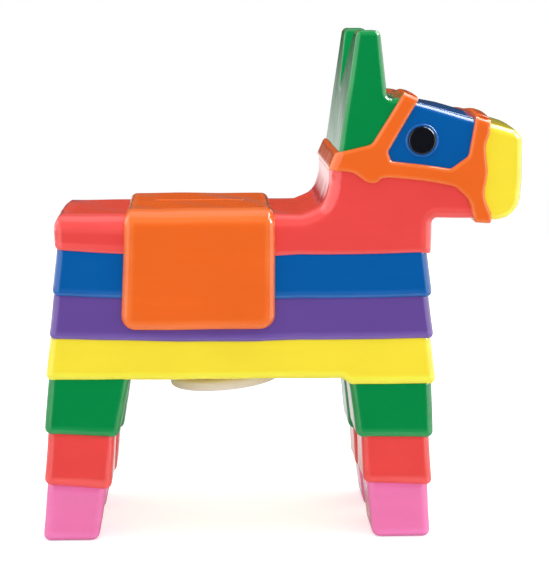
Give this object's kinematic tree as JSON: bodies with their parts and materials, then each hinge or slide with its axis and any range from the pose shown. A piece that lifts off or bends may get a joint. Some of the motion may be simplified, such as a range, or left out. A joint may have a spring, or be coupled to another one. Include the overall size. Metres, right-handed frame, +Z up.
{
  "type": "pinata donkey coin bank",
  "caption": "Glazed ceramic coin bank shaped as a flat-sided pinata donkey in stepped rainbow bands, with a saddle blanket, halter, upright ears and a soft plastic belly stopper that pulls out.",
  "frame": {"origin": "on the ground under the middle of the donkey's length and width", "axes": "+Z up, +X from the rump to the nose, Y across the flat sides, with the near side at -Y"},
  "size_m": [0.1959, 0.081, 0.2086],
  "materials": {
    "red_glaze": "gloss",
    "blue_glaze": "gloss",
    "purple_glaze": "gloss",
    "yellow_glaze": "gloss",
    "green_glaze": "gloss",
    "orange_glaze": "gloss",
    "pink_glaze": "gloss",
    "black_glaze": "gloss",
    "stopper_rubber": "satin"
  },
  "bodies": {
    "bank": {"back": "red_glaze", "neck": "red_glaze", "blue_band": "blue_glaze", "purple_band": "purple_glaze", "belly_band": "yellow_glaze", "saddle_blanket": "orange_glaze", "crown_with_ears": "green_glaze", "halter": "orange_glaze", "face_panel": "blue_glaze", "muzzle": "yellow_glaze", "near_eye": "black_glaze", "far_eye": "black_glaze", "near_hind_thigh": "green_glaze", "near_hind_shin": "red_glaze", "near_hind_hoof": "pink_glaze", "near_front_thigh": "green_glaze", "near_front_shin": "red_glaze", "near_front_hoof": "pink_glaze", "far_hind_thigh": "green_glaze", "far_hind_shin": "red_glaze", "far_hind_hoof": "pink_glaze", "far_front_thigh": "green_glaze", "far_front_shin": "red_glaze", "far_front_hoof": "pink_glaze"},
    "stopper": {"belly_stopper": "stopper_rubber"}
  },
  "joints": [
    {"name": "stopper_pull", "type": "slide", "parent": "bank", "child": "stopper", "axis": [0, 0, -1], "range_m": [0, 0.03]}
  ]
}
